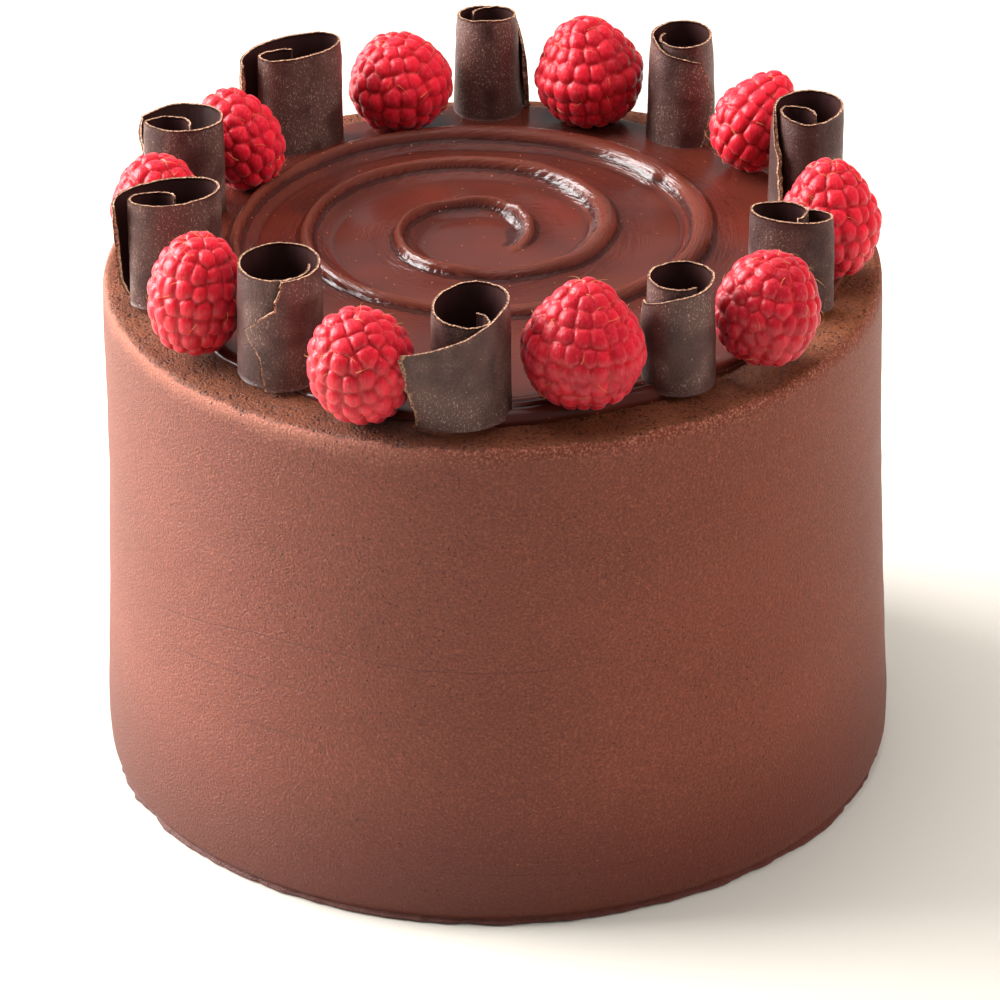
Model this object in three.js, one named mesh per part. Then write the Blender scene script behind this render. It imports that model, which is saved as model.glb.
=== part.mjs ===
// A tall round chocolate cake: a smooth frosted body, a thin disc of glossy ganache swirled into a
// spiral on its top, and a ring of ten raspberries that alternate with ten rolled chocolate curls.
// Millimetres, +Z up. The origin is the centre of the flat base.

import * as THREE from 'three';

// ---- Driving dimensions -------------------------------------------------------------------------

const FULL_TURN = 2 * Math.PI;
const GAP = 0.3; // air left between two pieces that touch

const CAKE = { height: 105, topRadius: 77.2, middleRadius: 77.8, baseRadius: 79.6, flare: 0.6 };
const CAKE_LIP = { radius: 80.1, height: 2.2, undercut: 0.3 }; // the frosting squeezed out round the foot
const CAKE_ROUNDING = 3; // radius of the soft top edge
const CAKE_SEGMENTS = 64;
const CAKE_SIDE_LEVELS = { flareEnds: 0.22, middle: 0.52 }; // shares of the height

const GANACHE = { thickness: 1.2, edgeRadius: 68.3, shoulder: 1, undercut: 0.5 };
const GANACHE_OUTLINE = { backwardReach: 2, wave: 1.8, waves: 4 }; // how its edge departs from a circle
const SWIRL_CENTRE = new THREE.Vector2(-0.1, 8.9);
const SWIRL_MIDDLE = new THREE.Vector2(-0.1, 6.9); // the flat spot that the ridge starts beside
// How far the crest of the ridge is from the swirl's centre after each quarter turn.
const SWIRL_QUARTER_RADII = [8.3, 11.8, 17, 19.6, 24.4, 30.8, 35.7, 35.4, 44, 45.3, 49.8, 54, 56, 57, 60, 64];
const RIDGE = { height: 2.7, steepWidth: 1.5, crownWidth: 1.7, gentleWidth: 4.2 };
// Shares of the ridge's height at the foot of its inner face and at two places down its outer face.
const RIDGE_PROFILE = { innerFoot: 0.12, crown: 0.6, outerFoot: 0.1 };
const RIDGE_ENDS = { rises: [0, 0.1], sinks: [2.25, 2.7] }; // in turns from the swirl's start
const TRACK_FLOOR = 0.7; // how far across the track between two ridges its floor is lowest
const SWIRL_SEGMENTS = 60; // steps in one turn of the ridge

const RASPBERRY = { drupeletsAround: 9, rings: 11, lowestRing: -70, highestRing: 72, drupeletDepth: 1 };
const RASPBERRY_UNEVENNESS = 0.35; // how far a drupelet may lie below its neighbours
const RASPBERRY_FULLNESS = 0.75; // below 1 the berry is fuller than an egg near its ends
const TOPPING_LEVEL = CAKE.height + GAP + GANACHE.thickness + GAP; // the toppings stand on the ganache

const CURL_WALL = 0.9;
const CURL_STEP = 1 / 18; // turns between two sections of a rolled sheet

// Each raspberry: its centre, half its width, half its height, how much thinner its tip is than its
// middle, and how far and which way the tip leans, in degrees.
const RASPBERRIES = [
  { at: [-18.2, 61.2], halfWidth: 11.0, halfHeight: 10.2, taper: 0.25, lean: 10, towards: 170 },
  { at: [20.4, 62.6], halfWidth: 11.6, halfHeight: 11.5, taper: 0.38, lean: 8, towards: 170 },
  { at: [54.0, 39.8], halfWidth: 9.0, halfHeight: 10.8, taper: 0.42, lean: 36, towards: 20 },
  { at: [66.6, -8.1], halfWidth: 10.6, halfHeight: 11.8, taper: 0.3, lean: 6, towards: 90 },
  { at: [52.8, -45.0], halfWidth: 10.6, halfHeight: 11.1, taper: 0.15, lean: 14, towards: 20 },
  { at: [17.3, -60.9], halfWidth: 12.4, halfHeight: 12.5, taper: 0.44, lean: 4, towards: 60 },
  { at: [-25.2, -65.8], halfWidth: 10.7, halfHeight: 11.4, taper: 0.12, lean: 38, towards: 250 },
  { at: [-57.0, -37.0], halfWidth: 9.7, halfHeight: 12.1, taper: 0.12, lean: 8, towards: 20 },
  { at: [-66.3, 3.4], halfWidth: 9.6, halfHeight: 10.8, taper: 0.15, lean: 6, towards: 0 },
  { at: [-50.8, 34.6], halfWidth: 8.8, halfHeight: 10.6, taper: 0.22, lean: 30, towards: 160 },
];

// Each curl is a sheet of chocolate rolled about an upright axis, clockwise (-1) or anticlockwise (+1)
// as seen from above, from its free edge inwards. half holds the two half axes of the roll in plan.
// roll lists [turn, size at the foot, size at the top, shift x, shift y] along the sheet, rim lists
// [turn, how far the top edge lies below the full height], and freeEdge lists [level, turn], where the
// sheet begins at each level from the foot (0) to the top (1).
const CURLS = [
  {
    at: [-40.0, 52.5], yaw: 25, half: [10.2, 4.8], height: 22.4, start: 186, sense: -1,
    roll: [[0, 1.14, 1.12, 0, 0], [0.25, 1, 1, 0, 0], [0.75, 1, 1, 0, 0], [0.85, 0.93, 0.93, 0, 0],
      [0.95, 0.76, 0.76, 0, 0], [1, 0.7, 0.7, -0.1, 0], [1.15, 0.42, 0.42, -2.9, 0],
      [1.4, 0.36, 0.36, -2.6, -0.6]],
    rim: [[0, 2.2], [0.2, 0.4], [0.4, 0], [0.75, 0.9], [0.95, 1.2], [1.4, 1.2]],
    freeEdge: [[0, 0], [1, 0]],
  },
  {
    at: [-0.1, 69.4], yaw: 0, half: [6.1, 6.3], height: 22.2, start: -8, sense: 1,
    roll: [[0, 1.32, 1.2, 0, 0], [0.14, 1.2, 1.03, 0, 0], [0.4, 1.19, 1, 0, 0], [1, 1.05, 0.9, 0, 0],
      [1.4, 0.8, 0.7, 0, 0]],
    rim: [[0, 10.5], [0.05, 8], [0.1, 4], [0.14, 2.2], [0.27, 2.4], [0.52, 1.4], [0.77, 0], [1.02, 1.2],
      [1.4, 2.2]],
    freeEdge: [[0, 0.03], [0.55, 0], [1, 0.02]],
  },
  {
    at: [39.6, 56.0], yaw: 0, half: [6.6, 6.9], height: 22.0, start: -37, sense: -1,
    roll: [[0, 1.12, 1.06, 0, 0], [0.3, 1.1, 0.94, 0, 0], [0.6, 1.06, 0.95, 0, 0], [1.05, 0.88, 0.82, 0, 0],
      [1.5, 0.7, 0.66, 0, 0]],
    rim: [[0, 4.8], [0.12, 3], [0.27, 1.6], [0.36, 0.2], [0.8, 0], [1.0, 0.4], [1.5, 1]],
    freeEdge: [[0, 0.07], [0.55, 0], [1, 0.06]],
  },
  {
    at: [64.0, 26.2], yaw: 0, half: [6.6, 6.8], height: 19.8, start: 228, sense: -1,
    roll: [[0, 1.3, 1.1, 0, 0], [0.25, 1.12, 1.03, 0, 0], [0.63, 0.94, 1, 0, 0], [0.88, 0.92, 0.96, 0, 0],
      [1.1, 0.8, 0.84, -0.2, 0], [1.35, 0.5, 0.5, -1.8, -1.8], [1.6, 0.44, 0.44, -1.6, -2.4]],
    rim: [[0, 0.8], [0.38, 0], [0.63, 0.2], [0.88, 1.5], [1.1, 1], [1.6, 1.4]],
    freeEdge: [[0, 0], [0.5, 0.02], [1, 0.1]],
  },
  {
    at: [58.5, -20.4], yaw: -17, half: [8.2, 4.4], height: 19.2, start: 66, sense: -1,
    roll: [[0, 0.7, 0.7, 0, 0], [0.18, 1, 1, 0, 0], [0.68, 1, 1, 0, 0], [0.93, 0.86, 0.86, -1.3, -0.3],
      [1.18, 0.66, 0.66, -3, 0], [1.3, 0.66, 0.66, -2.2, -0.6]],
    rim: [[0, 0.6], [0.18, 0.2], [0.6, 0.4], [0.9, 0], [1.3, 0.3]],
    freeEdge: [[0, 0], [1, 0]],
  },
  {
    at: [35.6, -52.2], yaw: 0, half: [6.5, 6.6], height: 21.6, start: 185, sense: 1,
    roll: [[0, 1.07, 1.07, 0, 0], [0.5, 1, 1, 0, 0], [1, 0.88, 0.88, 0, 0], [1.35, 0.74, 0.74, 0, 0]],
    rim: [[0, 4.8], [0.07, 4.2], [0.22, 1.5], [0.35, 0.8], [0.48, 0], [1.1, 0.2], [1.35, 0.6]],
    freeEdge: [[0, 0.02], [0.5, 0], [1, 0]],
  },
  {
    at: [-4.6, -62.5], yaw: 0, half: [7.4, 7.4], height: 23.0, start: 214, sense: 1,
    roll: [[0, 1.62, 2.4, 0, 0], [0.09, 1.4, 1.5, 0, 0], [0.19, 1.2, 1.2, 0, 0], [0.3, 1.08, 1.06, 0, 0],
      [0.45, 1, 1, 0, 0], [0.95, 0.9, 0.9, 0, 0], [1.15, 0.86, 0.86, 0, 0], [1.4, 0.42, 0.42, 0.4, -2.8],
      [1.6, 0.36, 0.36, 0.6, -3.2]],
    rim: [[0, 7.2], [0.09, 5.4], [0.19, 3.2], [0.3, 0.8], [0.42, 0], [0.65, 0.3], [0.9, 2.4], [1.15, 3.4],
      [1.6, 3.2]],
    freeEdge: [[0, 0], [0.5, 0.005], [1, 0.01]],
  },
  {
    at: [-41.0, -45.8], yaw: 0, half: [7.9, 8.1], height: 22.8, start: -139, sense: 1,
    roll: [[0, 1.12, 1.04, 0, 0], [0.6, 1.06, 1, 0, 0], [1.1, 0.94, 0.87, 0, 0], [1.4, 0.82, 0.76, 0, 0]],
    rim: [[0, 0.6], [0.5, 0], [1.0, 0.7], [1.4, 1]],
    freeEdge: [[0, 0.08], [0.3, 0.065], [0.52, 0], [0.74, 0.12], [1, 0.153]],
  },
  {
    at: [-62.1, -13.9], yaw: 18, half: [9.1, 5.5], height: 22.4, start: 183, sense: -1,
    roll: [[0, 1.2, 1.34, 0, 0], [0.07, 1.17, 1.26, 0, 0], [0.14, 1.13, 1.2, 0, 0], [0.21, 1.08, 1.14, 0, 0],
      [0.35, 1, 1.02, 0, 0], [0.78, 1, 1, 0, 0], [0.96, 0.93, 0.93, -0.5, 0],
      [1.13, 0.55, 0.55, -3.5, -0.6], [1.5, 0.42, 0.42, -3.9, -1.6]],
    rim: [[0, 1.6], [0.05, 0.9], [0.2, 0.5], [0.45, 0], [0.8, 0.5], [1.5, 0.6]],
    freeEdge: [[0, 0.1], [0.2, 0.05], [0.6, 0], [1, 0]],
  },
  {
    at: [-61.6, 22.6], yaw: 0, half: [8.0, 6.4], height: 21.0, start: 146, sense: -1,
    roll: [[0, 1.38, 1.28, 0, 0], [0.16, 1.02, 1.02, 0, 0], [0.6, 0.96, 1, 0, 0],
      [0.8, 0.86, 0.88, -0.4, -0.2], [1, 0.54, 0.54, -2.5, -2.4], [1.45, 0.5, 0.5, -2.3, -2.7]],
    rim: [[0, 2.4], [0.12, 0.5], [0.3, 0], [0.7, 0.3], [1.45, 0.5]],
    freeEdge: [[0, 0.02], [1, 0]],
  },
];

// ---- Shared helpers -----------------------------------------------------------------------------

const degrees = (angle) => THREE.MathUtils.degToRad(angle);

// A repeatable number from -1 to 1 for each pair of whole numbers.
function unevenAt(a, b) {
  const mixed = Math.sin(a * 127.1 + b * 311.7) * 43758.5453;
  return 2 * (mixed - Math.floor(mixed)) - 1;
}

// The values at a place along a list of [place, value, ...] rows, joined by straight lines.
function valuesAt(rows, place) {
  const next = rows.findIndex((row) => row[0] >= place);
  if (next === 0) return rows[0].slice(1);
  if (next === -1) return rows[rows.length - 1].slice(1);
  const [before, after] = [rows[next - 1], rows[next]];
  const share = (place - before[0]) / (after[0] - before[0]);
  return before.slice(1).map((value, k) => value + share * (after[k + 1] - value));
}

// A closed solid from its corner points and its faces, each face a list of corners seen
// anticlockwise from outside.
function solidOf(points, faces) {
  const triangles = faces.flatMap((face) => face.slice(2).map((corner, k) => [face[0], face[k + 1], corner]));
  const geometry = new THREE.BufferGeometry();
  geometry.setAttribute('position', new THREE.Float32BufferAttribute(points.flat(), 3));
  geometry.setIndex(triangles.flat());
  geometry.computeVertexNormals();
  return geometry;
}

function namedMesh(name, geometry, color, roughness) {
  const mesh = new THREE.Mesh(geometry, new THREE.MeshStandardMaterial({ color, roughness, metalness: 0 }));
  mesh.name = name;
  return mesh;
}

// ---- Frosted body -------------------------------------------------------------------------------

// One turned solid: flat base, a small lip at the foot, nearly upright sides and a soft top edge.
function cakeBody() {
  const { height, topRadius, middleRadius, baseRadius } = CAKE;
  const side = new THREE.SplineCurve([
    new THREE.Vector2(baseRadius, CAKE_LIP.height),
    new THREE.Vector2(baseRadius - CAKE.flare, height * CAKE_SIDE_LEVELS.flareEnds),
    new THREE.Vector2(middleRadius, height * CAKE_SIDE_LEVELS.middle),
    new THREE.Vector2(topRadius, height - CAKE_ROUNDING),
  ]);
  const corner = new THREE.EllipseCurve(
    topRadius - CAKE_ROUNDING, height - CAKE_ROUNDING, CAKE_ROUNDING, CAKE_ROUNDING, 0, Math.PI / 2,
  );
  const profile = [
    new THREE.Vector2(0, 0),
    new THREE.Vector2(CAKE_LIP.radius - CAKE_LIP.undercut, 0),
    new THREE.Vector2(CAKE_LIP.radius, CAKE_LIP.height / 2),
    ...side.getPoints(5),
    ...corner.getPoints(4).slice(1),
    new THREE.Vector2(0, height),
  ];
  const body = namedMesh('cake_body', new THREE.LatheGeometry(profile, CAKE_SEGMENTS), 0x8a5243, 0.72);
  body.rotation.x = Math.PI / 2; // the lathe turns about Y, and the cake stands along Z
  return body;
}

// ---- Ganache ------------------------------------------------------------------------------------

// How far the disc's edge is from the cake's axis, in the direction of an angle: it is not quite
// centred, and it waves in and out.
function ganacheEdgeRadius(angle) {
  const { backwardReach, wave, waves } = GANACHE_OUTLINE;
  return GANACHE.edgeRadius + backwardReach * Math.sin(angle) + wave * Math.cos(waves * angle);
}

const swirlPlaces = SWIRL_QUARTER_RADII.map((radius, quarter) => new THREE.Vector2(quarter / 4, radius));
const swirlCurve = new THREE.SplineCurve(swirlPlaces);
const swirlTurns = (SWIRL_QUARTER_RADII.length - 1) / 4;
const crestRadius = (turns) => swirlCurve.getPoint(turns / swirlTurns).y;

// The ridge rises from the film where the swirl starts, and sinks back into it near its end.
function ridgeHeight(turns) {
  const rise = THREE.MathUtils.smoothstep(turns, ...RIDGE_ENDS.rises);
  const sink = 1 - THREE.MathUtils.smoothstep(turns, ...RIDGE_ENDS.sinks);
  return RIDGE.height * rise * sink;
}

// The rows of points between one turn of the ridge and the next, each [distance out from the inner
// crest, height above the film], where room is the distance between the two crests.
function rowsAcrossTrack(turns, room) {
  const [inner, outer] = [ridgeHeight(turns), ridgeHeight(turns + 1)];
  return [
    [0, inner],
    [RIDGE.crownWidth, inner * RIDGE_PROFILE.crown],
    [RIDGE.gentleWidth, inner * RIDGE_PROFILE.outerFoot],
    [room * TRACK_FLOOR, 0],
    [room - RIDGE.steepWidth, outer * RIDGE_PROFILE.innerFoot],
  ];
}

const SWIRL_STEPS = Math.round((swirlTurns - 1) * SWIRL_SEGMENTS); // steps that have a track beside them
const angleOfStep = (step) => (step / SWIRL_SEGMENTS) * FULL_TURN;

function swirlPoint(step, radius, height) {
  return [
    SWIRL_CENTRE.x + radius * Math.cos(angleOfStep(step)),
    SWIRL_CENTRE.y + radius * Math.sin(angleOfStep(step)),
    CAKE.height + GAP + GANACHE.thickness + height,
  ];
}

// The points of the ridge and of the track outside it at one step. The last turn has no track.
function swirlRows(step) {
  const turns = step / SWIRL_SEGMENTS;
  const radius = crestRadius(turns);
  if (step > SWIRL_STEPS) return [swirlPoint(step, radius, ridgeHeight(turns))];
  const rows = rowsAcrossTrack(turns, crestRadius(turns + 1) - radius);
  return rows.map(([out, height]) => swirlPoint(step, radius + out, height));
}

// One ring of points round the disc's edge, starting where the strip of tracks ends.
function edgeRing(inset, z) {
  return Array.from({ length: SWIRL_SEGMENTS }, (_, k) => {
    const angle = angleOfStep(SWIRL_STEPS + k);
    const radius = ganacheEdgeRadius(angle) - inset;
    return [radius * Math.cos(angle), radius * Math.sin(angle), z];
  });
}

// A strip of tracks follows the ridge from turn to turn, so that its faces run along the crest. Faces
// round one middle point close its inside, and its outside is joined to the disc's edge.
function ganacheSolid() {
  const bottom = CAKE.height + GAP;
  const top = bottom + GANACHE.thickness;
  const points = [];
  const faces = [];
  const addPoint = (point) => points.push(point) - 1;

  const stripLength = SWIRL_STEPS + SWIRL_SEGMENTS + 1;
  const strip = Array.from({ length: stripLength }, (_, step) => swirlRows(step).map(addPoint));
  const columnAt = (step) => [...strip[step], strip[step + SWIRL_SEGMENTS][0]];
  for (let step = 0; step < SWIRL_STEPS; step++) {
    const [here, ahead] = [columnAt(step), columnAt(step + 1)];
    for (let row = 0; row + 1 < here.length; row++) {
      faces.push([here[row], here[row + 1], ahead[row + 1], ahead[row]]);
    }
  }

  // Inside the first turn: the ridge's steep inner face, and a flat floor round the middle point.
  const middle = addPoint([SWIRL_MIDDLE.x, SWIRL_MIDDLE.y, top]);
  const floor = Array.from({ length: SWIRL_SEGMENTS }, (_, step) => {
    const turns = step / SWIRL_SEGMENTS;
    const height = ridgeHeight(turns) * RIDGE_PROFILE.innerFoot;
    return addPoint(swirlPoint(step, crestRadius(turns) - RIDGE.steepWidth, height));
  });
  floor.push(strip[0][strip[0].length - 1]);
  for (let step = 0; step < SWIRL_SEGMENTS; step++) {
    faces.push([middle, floor[step], floor[step + 1]]);
    faces.push([floor[step], strip[step][0], strip[step + 1][0], floor[step + 1]]);
  }
  const firstColumn = [floor[0], ...strip[0]];
  for (let row = 0; row + 1 < firstColumn.length; row++) {
    faces.push([middle, firstColumn[row + 1], firstColumn[row]]);
  }

  // Outside the last turn: the disc's flat rim, its rounded edge and its underside.
  const shoulder = edgeRing(GANACHE.shoulder, top).map(addPoint);
  const edge = edgeRing(0, bottom + GANACHE.thickness / 3).map(addPoint);
  const foot = edgeRing(GANACHE.undercut, bottom).map(addPoint);
  const underside = addPoint([0, 0, bottom]);
  faces.push([strip[SWIRL_STEPS + 1][0], ...columnAt(SWIRL_STEPS), shoulder[0], shoulder[1]]);
  for (let k = 0; k < SWIRL_SEGMENTS; k++) {
    const next = (k + 1) % SWIRL_SEGMENTS;
    const step = SWIRL_STEPS + k;
    if (k > 0) faces.push([strip[step][0], shoulder[k], shoulder[next], strip[step + 1][0]]);
    faces.push([shoulder[k], edge[k], edge[next], shoulder[next]]);
    faces.push([edge[k], foot[k], foot[next], edge[next]]);
    faces.push([underside, foot[next], foot[k]]);
  }
  return solidOf(points, faces);
}

// ---- Raspberries --------------------------------------------------------------------------------

// How far the skin lies below the drupelets' outermost points: a full drupelet's depth in a crease.
function sunkBelow(bulges, ring, place, seed) {
  return bulges ? RASPBERRY_UNEVENNESS * Math.abs(unevenAt(seed + ring, place)) : RASPBERRY.drupeletDepth;
}

// Drupelets sit in rings like bricks: at every second place round a ring the skin bulges, and the
// next ring is shifted by half a drupelet.
function raspberrySolid(berry, seed) {
  const { rings, lowestRing, highestRing } = RASPBERRY;
  const around = 2 * RASPBERRY.drupeletsAround;
  const points = [[0, 0, -berry.halfHeight], [0, 0, berry.halfHeight]];
  for (let ring = 0; ring < rings; ring++) {
    const slope = degrees(THREE.MathUtils.lerp(lowestRing, highestRing, ring / (rings - 1)));
    const upward = Math.sin(slope);
    const fullness = Math.cos(slope) ** RASPBERRY_FULLNESS * (1 - berry.taper * Math.max(0, upward));
    for (let place = 0; place < around; place++) {
      const angle = (place / around) * FULL_TURN;
      const sunk = sunkBelow((ring + place) % 2 === 0, ring, place, seed);
      const radius = berry.halfWidth * fullness - sunk * THREE.MathUtils.lerp(0.4, 1, fullness);
      const height = upward * (berry.halfHeight - sunk / 2);
      points.push([radius * Math.cos(angle), radius * Math.sin(angle), height]);
    }
  }

  const faces = [];
  const pointAt = (ring, place) => 2 + ring * around + (place % around);
  for (let place = 0; place < around; place++) {
    faces.push([0, pointAt(0, place + 1), pointAt(0, place)]);
    faces.push([1, pointAt(rings - 1, place), pointAt(rings - 1, place + 1)]);
    for (let ring = 0; ring + 1 < rings; ring++) {
      const [here, ahead] = [pointAt(ring, place), pointAt(ring, place + 1)];
      const [above, aheadAbove] = [pointAt(ring + 1, place), pointAt(ring + 1, place + 1)];
      // Each face folds between its two sunk corners, so that a crease runs between two drupelets.
      const bulgesHere = (ring + place) % 2 === 0;
      faces.push(bulgesHere ? [ahead, aheadAbove, above, here] : [here, ahead, aheadAbove, above]);
    }
  }
  return solidOf(points, faces);
}

function raspberry(berry, index) {
  const geometry = raspberrySolid(berry, 20 * index);
  const leanAxis = new THREE.Vector3(-Math.sin(degrees(berry.towards)), Math.cos(degrees(berry.towards)), 0);
  geometry.applyQuaternion(new THREE.Quaternion().setFromAxisAngle(leanAxis, degrees(berry.lean)));
  geometry.computeBoundingBox();
  const mesh = namedMesh(`raspberry_${index + 1}`, geometry, 0xb92534, 0.4);
  mesh.position.set(berry.at[0], berry.at[1], TOPPING_LEVEL - geometry.boundingBox.min.z);
  return mesh;
}

// ---- Curls --------------------------------------------------------------------------------------

// The middle of the sheet in plan, at a turn from the free edge and a level from foot to top.
function rollPoint(curl, turn, level) {
  const [footSize, topSize, shiftX, shiftY] = valuesAt(curl.roll, turn);
  const size = THREE.MathUtils.lerp(footSize, topSize, level);
  const angle = degrees(curl.start) + curl.sense * turn * FULL_TURN;
  return new THREE.Vector2(
    shiftX + size * curl.half[0] * Math.cos(angle),
    shiftY + size * curl.half[1] * Math.sin(angle),
  );
}

// The direction that points to the right of the way the sheet runs, in plan.
function rightOfSheet(curl, turn, level) {
  const reach = 0.01;
  const along = rollPoint(curl, turn + reach, level).sub(rollPoint(curl, turn - reach, level)).normalize();
  return new THREE.Vector2(along.y, -along.x);
}

// The closed outline of the sheet's thickness at one section: up its right face, down its left face.
function curlSection(curl, section, sections) {
  const lastTurn = curl.roll[curl.roll.length - 1][0];
  const levels = curl.freeEdge.map(([level]) => level);
  const face = (side) => levels.map((level) => {
    const [firstTurn] = valuesAt(curl.freeEdge, level);
    const turn = THREE.MathUtils.lerp(firstTurn, lastTurn, section / sections);
    const right = rightOfSheet(curl, turn, level);
    const place = rollPoint(curl, turn, level).addScaledVector(right, side * CURL_WALL / 2);
    const [drop] = valuesAt(curl.rim, turn);
    return [place.x, place.y, level * (curl.height - drop)];
  });
  return [...face(1), ...face(-1).reverse()];
}

function curlSolid(curl) {
  const lastTurn = curl.roll[curl.roll.length - 1][0];
  const sections = Math.round(lastTurn / CURL_STEP);
  const outlines = Array.from({ length: sections + 1 }, (_, section) => curlSection(curl, section, sections));
  const corners = outlines[0].length;
  const faces = [];
  for (let section = 0; section < sections; section++) {
    for (let corner = 0; corner < corners; corner++) {
      const [here, ahead] = [section * corners, (section + 1) * corners];
      const next = (corner + 1) % corners;
      faces.push([here + corner, ahead + corner, ahead + next, here + next]);
    }
  }
  const lastOutline = sections * corners;
  for (let corner = 0; corner < corners / 2 - 1; corner++) {
    const across = [corner, corner + 1, corners - 2 - corner, corners - 1 - corner];
    faces.push(across);
    faces.push(across.map((k) => lastOutline + k).reverse());
  }
  return solidOf(outlines.flat(), faces);
}

function curl(spec, index) {
  const mesh = namedMesh(`curl_${index + 1}`, curlSolid(spec), 0x4b3230, 0.55);
  mesh.position.set(spec.at[0], spec.at[1], TOPPING_LEVEL);
  mesh.rotation.z = degrees(spec.yaw);
  return mesh;
}

// ---- The whole cake -----------------------------------------------------------------------------

const cake = new THREE.Group();
cake.add(cakeBody());
cake.add(namedMesh('ganache', ganacheSolid(), 0x4a211b, 0.2));
cake.add(...RASPBERRIES.map(raspberry));
cake.add(...CURLS.map(curl));

export default cake;
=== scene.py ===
import itertools
import math

import bpy
import numpy as np
from mathutils import Matrix, Vector


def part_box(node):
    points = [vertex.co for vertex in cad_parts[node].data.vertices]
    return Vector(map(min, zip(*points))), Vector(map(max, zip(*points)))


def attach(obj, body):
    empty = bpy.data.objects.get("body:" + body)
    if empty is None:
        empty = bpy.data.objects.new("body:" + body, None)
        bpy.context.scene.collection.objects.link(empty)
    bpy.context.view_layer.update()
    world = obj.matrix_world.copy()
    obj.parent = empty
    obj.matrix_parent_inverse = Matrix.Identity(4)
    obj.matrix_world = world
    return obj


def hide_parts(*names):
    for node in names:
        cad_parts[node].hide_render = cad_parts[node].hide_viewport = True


# A tall round chocolate cake: smooth frosting, a swirl of glossy ganache, and a ring of raspberries and
# rolled chocolate curls. Shapes are worked out in millimetres, and MM turns them into metres.
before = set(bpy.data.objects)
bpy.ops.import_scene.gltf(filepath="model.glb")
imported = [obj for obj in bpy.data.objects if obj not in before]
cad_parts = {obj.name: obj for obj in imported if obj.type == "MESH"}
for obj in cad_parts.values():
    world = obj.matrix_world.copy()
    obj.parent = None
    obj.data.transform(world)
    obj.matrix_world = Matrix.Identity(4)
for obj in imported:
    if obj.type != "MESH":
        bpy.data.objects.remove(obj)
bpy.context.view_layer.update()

MM = 0.001
FULL_TURN = 2 * math.pi

# ---- Sizes ----

cake_high = np.array(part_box("cake_body")[1]) / MM
CAKE_HEIGHT = cake_high[2]
WIDEST_RADIUS = cake_high[0] - 0.5  # low on the side, less the waves that stand out from it
TOP_INSET = 2.4
TOP_RADIUS = WIDEST_RADIUS - TOP_INSET
TOP_ROUNDING = 1.8
# The frosting squeezed out under the side, and the side above it: how far in it is, at what height.
LIP_PLACES = [
    (2.2, 0), (1.3, 0.12), (0.8, 0.45), (0.85, 0.85), (1.35, 1.15), (1.2, 1.5), (0.7, 2.0), (0.4, 2.7),
]
SIDE_PLACES = [
    (0.4, 2.7), (0.12, 5), (0, 10), (0.4, 19), (0.75, 29), (1.2, 38), (1.75, 55), (2.15, 80),
    (TOP_INSET, 105),
]

SWIRL_CENTRE = np.array([-0.1, 8.9])
# How far the crest of the ridge is from the swirl's centre after each quarter turn.
SWIRL_QUARTER_RADII = [8.3, 11.8, 17, 19.6, 24.4, 30.8, 35.7, 35.4, 44, 45.3, 49.8, 54, 56, 57, 60, 64]
RIDGE_SINKS = (2.42, 2.72)  # turns from the swirl's start between which the ridge fades away
# The disc's edge is a circle, its middle a little behind the cake's, with a few waves on it.
GANACHE_EDGE = {"radius": 68.3, "backward": 2.0, "wave": 1.8, "waves": 4}
FILM_THICKNESS = 1.3
FILM_SINKS = 0.35  # how deep the disc's underside lies in the frosting
RIDGE_HEIGHT = 3.3

# Half the width and half the height of each raspberry, how much thinner its tip is than its middle, and
# how far and which way it leans, in degrees. hangs is how far its underside sinks below its solid's, and
# ripe is how deep its red is, from 0 to 1.
RASPBERRIES = [
    {"half": (11.0, 10.2), "taper": 0.25, "lean": 10, "towards": 170, "ripe": 0.36},
    {"half": (11.6, 11.5), "taper": 0.38, "lean": 8, "towards": 170, "ripe": 0.45},
    {"half": (9.0, 10.8), "taper": 0.42, "lean": 36, "towards": 20, "ripe": 0.15},
    {"half": (10.6, 11.8), "taper": 0.3, "lean": 6, "towards": 90, "ripe": 0.36},
    {"half": (10.6, 11.1), "taper": 0.15, "lean": 14, "towards": 20, "ripe": 0.75},
    {"half": (12.4, 12.5), "taper": 0.44, "lean": 4, "towards": 60, "ripe": 0.6},
    {"half": (10.7, 11.4), "taper": 0.12, "lean": 38, "towards": 250, "ripe": 0.45, "hangs": 1.6},
    {"half": (9.7, 12.1), "taper": 0.12, "lean": 8, "towards": 20, "ripe": 0.32},
    {"half": (9.6, 10.8), "taper": 0.15, "lean": 6, "towards": 0, "ripe": 0.36},
    {"half": (8.8, 10.6), "taper": 0.22, "lean": 30, "towards": 160, "ripe": 0.36},
]
RASPBERRY_FULLNESS = 0.72  # 1 makes the outline an ellipse, and less makes it fuller
USUAL_HANG = 0.6  # for the berries without one of their own
# How far apart the drupelets are across and up a berry, how deep in it their middles lie, how far they
# bulge, the radius of their dome, the width of a crease, and how flat-sided their packing makes them.
DRUPELET = {
    "across": 3.1, "up": 3.3, "depth": 1.2, "bulge": 1.3, "reach": 2.1, "crease": 0.95, "faceted": 0.45,
}

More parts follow.
